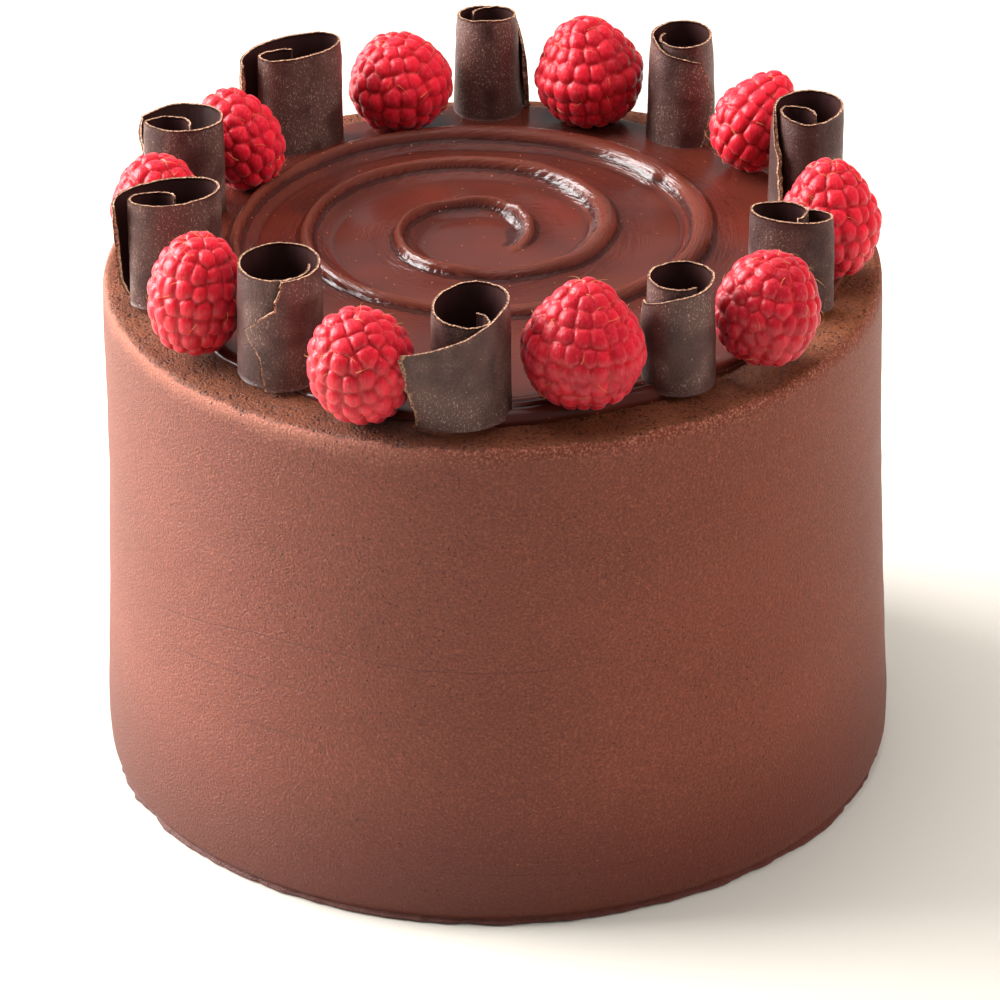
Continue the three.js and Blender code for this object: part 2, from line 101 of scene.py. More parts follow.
# Each curl is a sheet rolled about an upright axis, as the frame's solid is: from its free edge, where
# turn is 0, inwards, clockwise (-1) or anticlockwise (+1) from above. roll lists [turn, size at the
# foot, size at the top, shift x, shift y], rim lists [turn, how far the top edge lies below the full
# height], and free_edge lists [level, turn] from the foot (0) to the top (1). bloom_and_painted_light is
# how much of the outside is greyed and lightened, where more than 0.3 is nearly all of it: partly real
# bloom, and partly painted light that lightens some curls more than others.
CURL_WALL = 0.9
CURLS = [
    {
        "at": (-40.0, 52.5), "yaw": 25, "half": (10.2, 4.8), "height": 22.4, "start": 186, "sense": -1,
        "bloom_and_painted_light": 0.2,
        "roll": [[0, 1.14, 1.12, 0, 0], [0.25, 1, 1, 0, 0], [0.75, 1, 1, 0, 0], [0.85, 0.93, 0.93, 0, 0],
                 [0.95, 0.76, 0.76, 0, 0], [1, 0.7, 0.7, -0.1, 0], [1.15, 0.42, 0.42, -2.9, 0],
                 [1.4, 0.36, 0.36, -2.6, -0.6]],
        "rim": [[0, 2.2], [0.2, 0.4], [0.4, 0], [0.75, 0.9], [0.95, 1.2], [1.4, 1.2]],
        "free_edge": [[0, 0], [1, 0]],
    },
    {
        "at": (-0.1, 69.4), "yaw": 0, "half": (6.1, 6.3), "height": 22.2, "start": -8, "sense": 1,
        "bloom_and_painted_light": 0.24,
        "roll": [[0, 1.32, 1.2, 0, 0], [0.14, 1.2, 1.03, 0, 0], [0.4, 1.19, 1, 0, 0], [1, 1.05, 0.9, 0, 0],
                 [1.4, 0.8, 0.7, 0, 0]],
        "rim": [[0, 10.5], [0.05, 8], [0.1, 4], [0.14, 2.2], [0.27, 2.4], [0.52, 1.4], [0.77, 0],
                [1.02, 1.2], [1.4, 2.2]],
        "free_edge": [[0, 0.03], [0.55, 0], [1, 0.02]],
    },
    {
        "at": (39.6, 56.0), "yaw": 0, "half": (6.6, 6.9), "height": 22.0, "start": -37, "sense": -1,
        "bloom_and_painted_light": 0.14,
        "roll": [[0, 1.12, 1.06, 0, 0], [0.3, 1.1, 0.94, 0, 0], [0.6, 1.06, 0.95, 0, 0],
                 [1.05, 0.88, 0.82, 0, 0], [1.5, 0.7, 0.66, 0, 0]],
        "rim": [[0, 4.8], [0.12, 3], [0.27, 1.6], [0.36, 0.2], [0.8, 0], [1.0, 0.4], [1.5, 1]],
        "free_edge": [[0, 0.07], [0.55, 0], [1, 0.06]],
    },
    {
        "at": (64.0, 26.2), "yaw": 0, "half": (6.6, 6.8), "height": 19.8, "start": 228, "sense": -1,
        "bloom_and_painted_light": 0.0,
        "roll": [[0, 1.3, 1.1, 0, 0], [0.25, 1.12, 1.03, 0, 0], [0.63, 0.94, 1, 0, 0],
                 [0.88, 0.92, 0.96, 0, 0], [1.1, 0.8, 0.84, -0.2, 0], [1.35, 0.5, 0.5, -1.8, -1.8],
                 [1.6, 0.44, 0.44, -1.6, -2.4]],
        "rim": [[0, 0.8], [0.38, 0], [0.63, 0.2], [0.88, 1.5], [1.1, 1], [1.6, 1.4]],
        "free_edge": [[0, 0], [0.5, 0.02], [1, 0.1]],
    },
    {
        "at": (58.5, -20.4), "yaw": -17, "half": (8.2, 4.4), "height": 19.2, "start": 66, "sense": -1,
        "bloom_and_painted_light": 0.1,
        "roll": [[0, 0.7, 0.7, 0, 0], [0.18, 1, 1, 0, 0], [0.68, 1, 1, 0, 0],
                 [0.93, 0.86, 0.86, -1.3, -0.3], [1.18, 0.66, 0.66, -3, 0], [1.3, 0.66, 0.66, -2.2, -0.6]],
        "rim": [[0, 0.6], [0.18, 0.2], [0.6, 0.4], [0.9, 0], [1.3, 0.3]],
        "free_edge": [[0, 0], [1, 0]],
    },
    {
        "at": (35.6, -52.2), "yaw": 0, "half": (6.5, 6.6), "height": 21.6, "start": 185, "sense": 1,
        "bloom_and_painted_light": 0.06,
        "roll": [[0, 1.07, 1.07, 0, 0], [0.5, 1, 1, 0, 0], [1, 0.88, 0.88, 0, 0], [1.35, 0.74, 0.74, 0, 0]],
        "rim": [[0, 4.8], [0.07, 4.2], [0.22, 1.5], [0.35, 0.8], [0.48, 0], [1.1, 0.2], [1.35, 0.6]],
        "free_edge": [[0, 0.02], [0.5, 0], [1, 0]],
    },
    {
        "at": (-4.6, -62.5), "yaw": 0, "half": (7.4, 7.4), "height": 23.0, "start": 214, "sense": 1,
        "bloom_and_painted_light": 0.16,
        "roll": [[0, 1.62, 2.4, 0, 0], [0.09, 1.4, 1.5, 0, 0], [0.19, 1.2, 1.2, 0, 0],
                 [0.3, 1.08, 1.06, 0, 0], [0.45, 1, 1, 0, 0], [0.95, 0.9, 0.9, 0, 0],
                 [1.15, 0.86, 0.86, 0, 0], [1.4, 0.42, 0.42, 0.4, -2.8], [1.6, 0.36, 0.36, 0.6, -3.2]],
        "rim": [[0, 7.2], [0.09, 5.4], [0.19, 3.2], [0.3, 0.8], [0.42, 0], [0.65, 0.3], [0.9, 2.4],
                [1.15, 3.4], [1.6, 3.2]],
        "free_edge": [[0, 0], [0.5, 0.005], [1, 0.01]],
    },
    {
        "at": (-41.0, -45.8), "yaw": 0, "half": (7.9, 8.1), "height": 22.8, "start": -139, "sense": 1,
        "bloom_and_painted_light": 0.06,
        "roll": [[0, 1.12, 1.04, 0, 0], [0.6, 1.06, 1, 0, 0], [1.1, 0.94, 0.87, 0, 0],
                 [1.4, 0.82, 0.76, 0, 0]],
        "rim": [[0, 0.6], [0.5, 0], [1.0, 0.7], [1.4, 1]],
        "free_edge": [[0, 0.08], [0.3, 0.065], [0.52, 0], [0.74, 0.12], [1, 0.153]],
    },
    {
        "at": (-62.1, -13.9), "yaw": 18, "half": (9.1, 5.5), "height": 22.4, "start": 183, "sense": -1,
        "bloom_and_painted_light": 0.16,
        "roll": [[0, 1.2, 1.34, 0, 0], [0.07, 1.17, 1.26, 0, 0], [0.14, 1.13, 1.2, 0, 0],
                 [0.21, 1.08, 1.14, 0, 0], [0.35, 1, 1.02, 0, 0], [0.78, 1, 1, 0, 0],
                 [0.96, 0.93, 0.93, -0.5, 0], [1.13, 0.55, 0.55, -3.5, -0.6],
                 [1.5, 0.42, 0.42, -3.9, -1.6]],
        "rim": [[0, 1.6], [0.05, 0.9], [0.2, 0.5], [0.45, 0], [0.8, 0.5], [1.5, 0.6]],
        "free_edge": [[0, 0.1], [0.2, 0.05], [0.6, 0], [1, 0]],
    },
    {
        "at": (-61.6, 22.6), "yaw": 0, "half": (8.0, 6.4), "height": 21.0, "start": 146, "sense": -1,
        "bloom_and_painted_light": 0.16,
        "roll": [[0, 1.38, 1.28, 0, 0], [0.16, 1.02, 1.02, 0, 0], [0.6, 0.96, 1, 0, 0],
                 [0.8, 0.86, 0.88, -0.4, -0.2], [1, 0.54, 0.54, -2.5, -2.4], [1.45, 0.5, 0.5, -2.3, -2.7]],
        "rim": [[0, 2.4], [0.12, 0.5], [0.3, 0], [0.7, 0.3], [1.45, 0.5]],
        "free_edge": [[0, 0.02], [1, 0]],
    },
]

# ---- Numbers ----


def hashed(cells, seed):
    """A repeatable number from 0 to 1 for each row of three whole numbers."""
    mixed = np.sin(cells @ np.array([127.1, 311.7, 74.7]) + 19.19 * seed) * 43758.5453
    return mixed - np.floor(mixed)


def noise(points, scale, seed):
    """Smooth noise from -1 to 1 at each point, with bumps about scale apart. scale may differ by axis."""
    place = points / np.asarray(scale, dtype=float)
    corner = np.floor(place)
    share = place - corner
    share = share * share * (3 - 2 * share)
    total = np.zeros(len(points))
    for offset in itertools.product((0, 1), repeat=3):
        weight = np.prod(np.where(offset, share, 1 - share), axis=1)
        total += weight * hashed(corner + offset, seed)
    return 2 * total - 1


def ripples(points, *layers):
    """Layers of noise added up. Each lists its strength, how far apart its bumps are, and its seed."""
    return sum(strength * noise(points, scale, seed) for strength, scale, seed in layers)


def smoothstep(value, low, high):
    """0 at low, 1 at high, and a smooth step between them. low may be the larger of the two."""
    share = np.clip((value - low) / (high - low), 0, 1)
    return share * share * (3 - 2 * share)


def blended(rows, places, softness):
    """The values at places along [place, value, ...] rows, with the corners between them softened."""
    rows = np.array(rows, dtype=float)
    offsets = np.linspace(-softness, softness, 5)
    return [
        np.mean([np.interp(places + offset, rows[:, 0], column) for offset in offsets], axis=0)
        for column in rows[:, 1:].T
    ]


def spline(values, places):
    """A smooth curve through evenly spaced values, read at places counted in values."""
    values = np.array(values, dtype=float)
    index = np.clip(np.floor(places).astype(int), 0, len(values) - 2)
    share = places - index
    before, start, end, after = (values[np.clip(index + k, 0, len(values) - 1)] for k in (-1, 0, 1, 2))
    leave, arrive = (end - before) / 2, (after - start) / 2
    cube = (2 * start - 2 * end + leave + arrive) * share**3
    square = (3 * end - 3 * start - 2 * leave - arrive) * share**2
    return cube + square + leave * share + start


# ---- Meshes ----


def grid_faces(rows, columns, closed):
    """Quads between neighbouring rows of points, with the last column joined to the first if closed."""
    across = np.arange(columns if closed else columns - 1)
    row, column = np.meshgrid(np.arange(rows - 1), across, indexing="ij")
    here, ahead = row * columns + column, row * columns + (column + 1) % columns
    return np.stack([here, ahead, ahead + columns, here + columns], axis=-1).reshape(-1, 4)


def fan_faces(apex, ring, outward):
    """Triangles from one point to a closed ring of points."""
    ahead = np.roll(ring, -1)
    first, second = (ring, ahead) if outward else (ahead, ring)
    return np.stack([np.full(len(ring), apex), first, second], axis=-1)


def closed_groups(rows, columns, upward=True):
    """All faces of a stack of closed rings whose ends are closed by the two points that follow them. upward
    says that the rings lead from the underside to the top."""
    quads = grid_faces(rows, columns, closed=True)
    count = rows * columns
    first, last = np.arange(columns), np.arange(count - columns, count)
    fans = np.concatenate([fan_faces(count, first, not upward), fan_faces(count + 1, last, upward)])
    return [(quads if upward else quads[:, ::-1], 0), (fans, 0)]


def make_piece(name, points, face_groups, materials, stands_for):
    """A smooth mesh piece that stands for a node of the frame, or for none. face_groups lists (faces,
    material index), and points are in millimetres."""
    mesh = bpy.data.meshes.new(name)
    corners = np.concatenate([faces.ravel() for faces, _ in face_groups])
    sizes = np.concatenate([np.full(len(faces), faces.shape[1]) for faces, _ in face_groups])
    wears = np.concatenate([np.full(len(faces), index) for faces, index in face_groups])
    mesh.vertices.add(len(points))
    mesh.vertices.foreach_set("co", (np.asarray(points) * MM).ravel())
    mesh.loops.add(len(corners))
    mesh.loops.foreach_set("vertex_index", corners)
    mesh.polygons.add(len(sizes))
    mesh.polygons.foreach_set("loop_start", np.concatenate([[0], np.cumsum(sizes)[:-1]]))
    mesh.polygons.foreach_set("material_index", wears)
    mesh.update(calc_edges=True)
    mesh.polygons.foreach_set("use_smooth", np.ones(len(sizes), dtype=bool))
    for material in materials:
        mesh.materials.append(material)
    piece = bpy.data.objects.new(name, mesh)
    bpy.context.collection.objects.link(piece)
    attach(piece, "root")
    if stands_for:
        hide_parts(stands_for)
    return piece


def add_values(piece, name, values):
    """Keeps one number for each point of a piece, for its material to read."""
    layer = piece.data.attributes.new(name, "FLOAT", "POINT")
    layer.data.foreach_set("value", np.asarray(values, dtype=np.float32))


# ---- Materials ----


class Shader:
    """One material's node tree, built by short calls that return sockets."""

    def __init__(self, name, **surface):
        self.material = bpy.data.materials.new(name)
        self.material.use_nodes = True
        self.tree = self.material.node_tree
        self.surface = self.tree.nodes["Principled BSDF"]
        for key, value in surface.items():
            self.surface.inputs[key.replace("_", " ")].default_value = value
        self.place = self.node("ShaderNodeTexCoord").outputs["Object"]

    def node(self, kind, inputs=(), **settings):
        made = self.tree.nodes.new(kind)
        for key, value in settings.items():
            setattr(made, key, value)
        for key, value in dict(inputs).items():
            self.feed(made.inputs[key], value)
        return made

    def feed(self, socket, value):
        if isinstance(value, bpy.types.NodeSocket):
            self.tree.links.new(value, socket)
        else:
            socket.default_value = value

    def math(self, operation, first, second=0.0, third=0.0):
        return self.node("ShaderNodeMath", {0: first, 1: second, 2: third}, operation=operation).outputs[0]

    def times(self, first, second):
        return self.math("MULTIPLY", first, second)

    def vector(self, operation, first, second=(0, 0, 0)):
        return self.node("ShaderNodeVectorMath", {0: first, 1: second}, operation=operation).outputs

    def fade(self, value, low, high, start=0.0, end=1.0):
        """value turned into a smooth step from start, at low, to end, at high."""
        inputs = {"Value": value, "From Min": low, "From Max": high, "To Min": start, "To Max": end}
        return self.node("ShaderNodeMapRange", inputs, interpolation_type="SMOOTHSTEP").outputs["Result"]

    def scaled(self, size):
        """The place, stretched so that one unit is size millimetres. size may differ by axis."""
        size = size if isinstance(size, tuple) else (size, size, size)
        return self.vector("MULTIPLY", self.place, tuple(1 / (part * MM) for part in size))[0]

    def grain(self, size, detail=2.0, roughness=0.5):
        """Noise from 0 to 1 with lumps about size millimetres apart."""
        inputs = {"Vector": self.scaled(size), "Scale": 1.0, "Detail": detail, "Roughness": roughness}
        return self.node("ShaderNodeTexNoise", inputs).outputs["Fac"]

    def ring_grain(self, centre, width, lumps):
        """Noise from 0 to 1 in streaks round an upright axis, width millimetres apart. centre is the axis
        in plan, and a streak is about 1 / lumps of its radius long."""
        offset = self.vector("SUBTRACT", self.place, (centre[0] * MM, centre[1] * MM, 0))[0]
        flat = self.vector("MULTIPLY", offset, (1, 1, 0))[0]
        radius = self.vector("LENGTH", flat)["Value"]
        heading = self.vector("NORMALIZE", flat)[0]
        around = self.vector("MULTIPLY", heading, (lumps, lumps, 0))[0]
        across = self.node("ShaderNodeCombineXYZ", {2: self.math("DIVIDE", radius, width * MM)}).outputs[0]
        inputs = {"Vector": self.vector("ADD", around, across)[0], "Scale": 1.0, "Detail": 3.0}
        return self.node("ShaderNodeTexNoise", inputs).outputs["Fac"]

    def up(self):
        """How many millimetres each point is above the floor."""
        height = self.node("ShaderNodeSeparateXYZ", {0: self.place}).outputs[2]
        return self.math("DIVIDE", height, MM)

    def cells(self, size):
        """Cells of size millimetres: how far a point is from its cell's middle, in cells, and two numbers
        from 0 to 1 that are the cell's own."""
        made = self.node("ShaderNodeTexVoronoi", {"Vector": self.scaled(size), "Scale": 1.0})
        own = self.node("ShaderNodeSeparateColor", {0: made.outputs["Color"]}).outputs
        return made.outputs["Distance"], own[0], own[1]

    def spots(self, distance, own, reach, share):
        """1 in round spots of a radius of reach cells, on a share of the cells."""
        chosen = self.math("LESS_THAN", own, share)
        return self.times(chosen, self.fade(self.math("DIVIDE", distance, reach), 1.0, 0.5))

    def mix(self, share, first, second):
        """The first colour where share is 0, and the second where it is 1."""
        made = self.node("ShaderNodeMix", {0: share}, data_type="RGBA")
        colours = [socket for socket in made.inputs if socket.type == "RGBA"]
        self.feed(colours[0], first)
        self.feed(colours[1], second)
        return next(socket for socket in made.outputs if socket.type == "RGBA")

    def value(self, name):
        """A number kept for each point of the piece by add_values."""
        return self.node("ShaderNodeAttribute", attribute_name=name).outputs["Fac"]

    def bump(self, height, depth=1.0):
        """Raises the surface by height times depth millimetres."""
        inputs = {"Height": height, "Distance": depth * MM, "Strength": 1.0}
        self.feed(self.surface.inputs["Normal"], self.node("ShaderNodeBump", inputs).outputs["Normal"])

    def colour(self, socket):
        """Sets the surface's colour, and hands over the material, which is then done."""
        self.feed(self.surface.inputs["Base Color"], socket)
        return self.material


def rgb(red, green, blue):
    """A colour from its sRGB values, 0 to 255."""
    shares = [part / 255 for part in (red, green, blue)]
    linear = [((part + 0.055) / 1.055) ** 2.4 if part > 0.04045 else part / 12.92 for part in shares]
    return (*linear, 1.0)


def frosting_material():
    """Matte chocolate frosting: sandy grain, clusters of burst bubbles, pale specks, scrape lines, and a
    rougher, browner, spongy top. Painted shade darkens the foot, the lip, the bubbles' pits and the front of
    the top, and a painted highlight pales the rim at the left."""
    shader = Shader("chocolate_frosting", IOR=1.4)
    grain = shader.grain(0.5, detail=3.0, roughness=0.65)
    rim, lit_rim, cluster = (shader.value(name) for name in ("rim_share", "lit_rim", "cluster"))
    on_top = shader.fade(shader.value("top_share"), 0.35, 0.65)
    distance, own, second_own = shader.cells(1.15)
    reach = shader.math("MULTIPLY_ADD", on_top, 0.14, 0.22)
    share = shader.math("MAXIMUM", shader.times(cluster, 0.34), shader.times(on_top, 0.55))
    holes = shader.spots(distance, own, reach, share)
    specks = shader.spots(distance, second_own, 0.14, 0.06)

    side = shader.mix(shader.value("mottle"), rgb(109, 51, 34), rgb(121, 58, 41))
    side = shader.mix(shader.fade(grain, 0.52, 0.36, 0.0, 0.5), side, rgb(78, 32, 20))
    side = shader.mix(shader.fade(grain, 0.54, 0.68, 0.0, 0.5), side, rgb(160, 92, 68))
    # Painted shade: the side is darkened towards its foot, where less light reaches it.
    side = shader.mix(shader.fade(shader.up(), 38, 2, 0.0, 0.7), side, rgb(78, 28, 15))
    side = shader.mix(shader.times(specks, 0.6), side, rgb(196, 126, 84))

    scrapes = 0.0
    for number in range(len(SCRAPES)):
        line = shader.fade(shader.math("ABSOLUTE", shader.value(f"scrape_{number}")), 0.3, 0.06)
        line = shader.times(line, shader.value(f"scrape_share_{number}"))
        scrapes = shader.math("MAXIMUM", scrapes, line)
    side = shader.mix(shader.times(scrapes, 0.35), side, rgb(70, 28, 18))

    top = shader.mix(shader.fade(grain, 0.4, 0.6), rgb(70, 29, 14), rgb(128, 68, 37))
    top = shader.mix(shader.times(shader.value("mottle"), 0.3), top, rgb(156, 92, 56))
    # Painted shade on the front of the top.
    top = shader.mix(shader.value("painted_shade_front"), top, rgb(60, 24, 18))
    colour = shader.mix(on_top, side, top)
    colour = shader.mix(shader.times(lit_rim, 0.55), colour, rgb(182, 116, 96))
    flecks = shader.times(shader.fade(grain, 0.5, 0.64), rim)
    colour = shader.mix(shader.times(flecks, 0.4), colour, rgb(196, 136, 112))
    # Painted shade darkens the pits of the burst bubbles.
    colour = shader.mix(shader.times(holes, 0.75), colour, rgb(52, 20, 12))
    # Painted shade darkens the squeezed-out lip, which lies in shadow under the side.
    colour = shader.mix(shader.fade(shader.value("lip_share"), 0.2, 0.8, 0.0, 0.8), colour, rgb(86, 44, 38))

    shader.feed(shader.surface.inputs["Roughness"], shader.fade(rim, 0.0, 1.0, 0.5, 0.75))
    coarse = shader.math("MAXIMUM", on_top, rim)
    relief = shader.times(grain, shader.fade(coarse, 0.0, 1.0, 0.4, 0.62))
    relief = shader.math("SUBTRACT", relief, shader.times(holes, 0.35))
    shader.bump(shader.math("SUBTRACT", relief, shader.times(scrapes, 0.05)))
    return shader.colour(colour)


def ganache_material():
    """Glossy dark ganache, scored along its ridges, with a few tiny bubbles, painted shade in its hollows
    and a painted highlight on its crests.
    """
    shader = Shader("glossy_ganache", Roughness=0.2, IOR=1.4)
    deep = shader.mix(shader.value("mottle"), rgb(91, 39, 28), rgb(73, 31, 25))
    hollow = shader.value("hollow")
    # Painted shade darkens the hollows at the ridges' feet, and a painted highlight lightens the crests.
    deep = shader.mix(shader.fade(hollow, 0.05, 0.8, 0.0, 0.68), deep, rgb(38, 14, 11))
    deep = shader.mix(shader.fade(hollow, -0.1, -0.9, 0.0, 0.18), deep, rgb(126, 66, 46))
    distance, own, _ = shader.cells(1.5)
    specks = shader.spots(distance, own, 0.13, shader.times(shader.value("mottle"), 0.4))
    colour = shader.mix(shader.times(specks, 0.8), deep, rgb(186, 110, 70))
    streaks = shader.times(shader.ring_grain(SWIRL_CENTRE, 0.4, 9.0), shader.value("worked"))
    shader.bump(streaks, 0.22)
    return shader.colour(colour)


def raspberry_material():
    """Translucent raspberry skin, with faint upright streaks paled by a painted highlight, and darker in the
    creases with painted shade.
    """
    shader = Shader(
        "raspberry_skin", Roughness=0.38, IOR=1.38, Sheen_Weight=0.15, Sheen_Roughness=0.4,
        Subsurface_Weight=0.45, Subsurface_Radius=(1.0, 0.14, 0.12), Subsurface_Scale=2.2 * MM,
    )
    bulge = shader.value("bulge")
    skin = shader.mix(shader.value("own_tint"), rgb(216, 25, 46), rgb(150, 8, 28))
    # Painted shade: the skin is darker red in the creases between the drupelets.
    skin = shader.mix(shader.fade(bulge, 0.2, 0.7), rgb(172, 8, 22), skin)
    streaks = shader.grain((0.42, 0.42, 1.6))
    # Painted highlight: pale upright streaks on the drupelets, where the light catches them.
    painted_streak_highlight = shader.times(shader.fade(streaks, 0.5, 0.72), 0.22)
    colour = shader.mix(painted_streak_highlight, skin, rgb(230, 96, 104))
    shader.bump(streaks, 0.12)
    return shader.colour(colour)


def hair_material():
    shader = Shader("raspberry_hair", Roughness=0.4)
    return shader.colour(shader.mix(shader.grain(2.0), rgb(226, 170, 96), rgb(190, 116, 62)))


def curl_outside_material():
    """The outside of a chocolate curl: dull, greyed by bloom and lightened by painted light, with pale
    flecks and fine scratches.
    """
    shader = Shader("curl_outside", Roughness=0.52, IOR=1.4)
    fine = shader.grain(0.5)
    bloom_and_painted_light = shader.value("bloom_and_painted_light")
    base = shader.mix(shader.value("mottle"), rgb(53, 30, 28), rgb(77, 49, 44))
    # Partly real bloom and partly painted light: the greyed share lightens the curl.
    base = shader.mix(shader.times(bloom_and_painted_light, 0.35), base, rgb(116, 84, 78))
    base = shader.mix(shader.fade(fine, 0.4, 0.7, 0.0, 0.35), base, rgb(96, 68, 60))
    scratches = shader.fade(shader.grain((0.32, 0.32, 0.55), detail=3.0, roughness=0.8), 0.56, 0.65)
    distance, own, second_own = shader.cells(1.3)
    flecks = shader.spots(distance, own, 0.12, 0.3)
    marks = shader.math("MAXIMUM", shader.times(scratches, bloom_and_painted_light), flecks)
    marks = shader.times(marks, 0.6)
    dimples = shader.spots(distance, second_own, 0.16, 0.16)
    relief = shader.math("SUBTRACT", shader.times(fine, 0.12), shader.times(dimples, 0.12))
    shader.bump(relief)
    return shader.colour(shader.mix(marks, base, rgb(190, 162, 140)))


def curl_inside_material():
    """The inside of a chocolate curl: darker, smoother and faintly streaked."""
    shader = Shader("curl_inside", Roughness=0.42, IOR=1.4)
    streaks = shader.grain((1.6, 1.6, 11.0))
    shader.bump(streaks, 0.08)
    return shader.colour(shader.mix(streaks, rgb(44, 22, 22), rgb(58, 32, 30)))


def curl_edge_material():
    """The broken edges of a chocolate curl: crumbly, with pale crumbs."""
    shader = Shader("curl_broken_edge", Roughness=0.6)
    crumbs = shader.grain(0.42)
    shader.bump(crumbs, 0.12)
    return shader.colour(shader.mix(shader.fade(crumbs, 0.4, 0.65), rgb(92, 58, 44), rgb(186, 140, 108)))


# ---- Frosting ----

FROSTING_COLUMNS = 720
SIDE_STARTS = 3.6
SIDE_ROWS = 86
TOP_ROW_STEP = 0.6
# The lines that the spatula left round the side: [degrees round from +X, height] along each.
SCRAPES = [
    [(-150, 51), (-128, 57.1), (-114, 57.7), (-101, 56.6), (-87, 56.4), (-75, 57)],
    [(-130, 36.5), (-122, 37.3), (-114, 37.2)],
    [(-148, 44.2), (-134, 46.4), (-119, 48)],
    [(-96, 12.4), (-80, 11.6), (-62, 12.2)],
]


def frosting_profile():
    """The cake's outline from under its base up to the middle of its top: radii and heights."""
    lip_insets, lip_levels = zip(*LIP_PLACES)
    levels = np.linspace(SIDE_STARTS, CAKE_HEIGHT - TOP_ROUNDING, SIDE_ROWS)
    (insets,) = blended([(level, inset) for inset, level in SIDE_PLACES], levels, 3)
    bend = np.radians(np.linspace(12, 90, 8))
    corner_radii = TOP_RADIUS - TOP_ROUNDING * (1 - np.cos(bend))
    corner_heights = CAKE_HEIGHT - TOP_ROUNDING * (1 - np.sin(bend))
    inner = np.concatenate([np.arange(corner_radii[-1] - TOP_ROW_STEP, 60, -TOP_ROW_STEP), [50, 30]])
    side_radii = WIDEST_RADIUS - np.concatenate([lip_insets, insets])
    radii = np.concatenate([[40], side_radii, corner_radii, inner])
    heights = np.concatenate([[0], lip_levels, levels, corner_heights, np.full(len(inner), CAKE_HEIGHT)])
    return radii, heights


def scrape_values(degrees, height, rolled):
    """For each scrape line, how far above it each point is, and how much of the line is there."""
    values = {}
    wander = 0.08 * noise(rolled, (5, 5, 200), 12)
    for number, places in enumerate(SCRAPES):
        at, level = zip(*places)
        values[f"scrape_{number}"] = height - np.interp(degrees, at, level) - wander
        ends = smoothstep(degrees, at[0] - 5, at[0] + 5) * smoothstep(degrees, at[-1] + 5, at[-1] - 5)
        values[f"scrape_share_{number}"] = ends * (height < CAKE_HEIGHT - 9)
    return values


def frosting_coat():
    """The whole frosted body, with its hand-smoothed waves, its squeezed-out lip and its crumbly top."""
    radii, heights = frosting_profile()
    angles = np.arange(FROSTING_COLUMNS) * FULL_TURN / FROSTING_COLUMNS
    radius = np.repeat(radii, FROSTING_COLUMNS)
    height = np.repeat(heights, FROSTING_COLUMNS)
    angle = np.tile(angles, len(radii))
    x, y = np.cos(angle), np.sin(angle)
    rolled = np.stack([x * TOP_RADIUS, y * TOP_RADIUS, height], axis=1)

    on_side = smoothstep(height, 2.5, 9) * smoothstep(height, CAKE_HEIGHT, CAKE_HEIGHT - 9)
    waves = ripples(rolled, (0.26, (34, 34, 16), 1), (0.07, (26, 26, 2.6), 2))
    radius = radius + waves * (0.35 + 0.65 * on_side) * (height > 0)
    lip_share = smoothstep(height, 1.6, 1.2) * (height > 0.1)
    squeezed = ripples(rolled * [1, 1, 0], (0.45, 7, 3), (0.25, 1.8, 4)) + 0.15 * noise(rolled, 1.4, 10)
    radius = radius + lip_share * squeezed

    # The top starts at a ragged line inside the rim. Painted shade darkens the top at the front, where the
    # toppings shade it from the light, and a painted highlight makes the rim paler at the left, where the
    # light grazes it.
    ragged_rim = TOP_RADIUS - 0.7 + ripples(rolled, (0.35, 3.0, 5), (0.35, 1.1, 6))
    top_share = smoothstep(radius, ragged_rim + 0.25, ragged_rim - 0.25) * (height > CAKE_HEIGHT - 2)
    rim_starts = CAKE_HEIGHT - 5 + 2 * noise(rolled, 5, 11)
    rim_share = smoothstep(height, rim_starts, CAKE_HEIGHT - 0.8) * (1 - top_share)
    painted_shade_front = 0.42 * smoothstep(x, -0.6, -0.1) * smoothstep(x, 0.95, 0.5) * (y < 0.2)
    lit_rim = rim_share * smoothstep(x, 0.1, -0.6)
    flat = np.stack([x * radius, y * radius, np.zeros(len(radius))], axis=1)
    crumbs = ripples(flat, (0.08, 2.2, 7), (0.09, 1.2, 8)) - 0.12
    height = height + top_share * crumbs + 0.1 * noise(flat, 9, 9) * (height > CAKE_HEIGHT - 0.5)

    sides = np.stack([x * radius, y * radius, height], axis=1)
    points = np.concatenate([sides, [[0, 0, 0], [0, 0, CAKE_HEIGHT - 0.3]]])
    groups = closed_groups(len(radii), FROSTING_COLUMNS)
    piece = make_piece("frosting_coat", points, groups, [frosting_material()], "cake_body")

    patches = ripples(rolled, (0.6, 11, 13), (0.4, 4, 14))
    mottle = 0.5 + ripples(rolled, (0.35, (24, 24, 16), 15), (0.15, (8, 8, 5), 16))
    degrees = np.degrees(angle) - 360 * (angle > math.pi / 2)
    values = {
        "top_share": top_share,
        "lip_share": lip_share,
        "rim_share": rim_share,
        "painted_shade_front": painted_shade_front,
        "lit_rim": lit_rim,
        "cluster": smoothstep(patches, -0.15, 0.35),
        "mottle": np.clip(mottle, 0, 1),
        **scrape_values(degrees, height, rolled),
    }
    for name, numbers in values.items():
        add_values(piece, name, np.concatenate([numbers, [0, numbers[-1]]]))


# ---- Ganache ----

GANACHE_COLUMNS = 420
# Rings of points from the swirl's centre to its rounded edge: from and to which share of the way, how many.
GANACHE_RINGS = [(0, 0.105, 8), (0.105, 0.8, 151), (0.8, 0.97, 29)]
FULL_HOLLOW = 0.35  # how far below its surroundings a point counts as wholly hollow
# Where the ridge lies over its earlier lap, in turns from the swirl's start: a sharp start and a soft end.
OVERLAP_STARTS = (2.085, 2.1)
OVERLAP_ENDS = (2.45, 2.2)
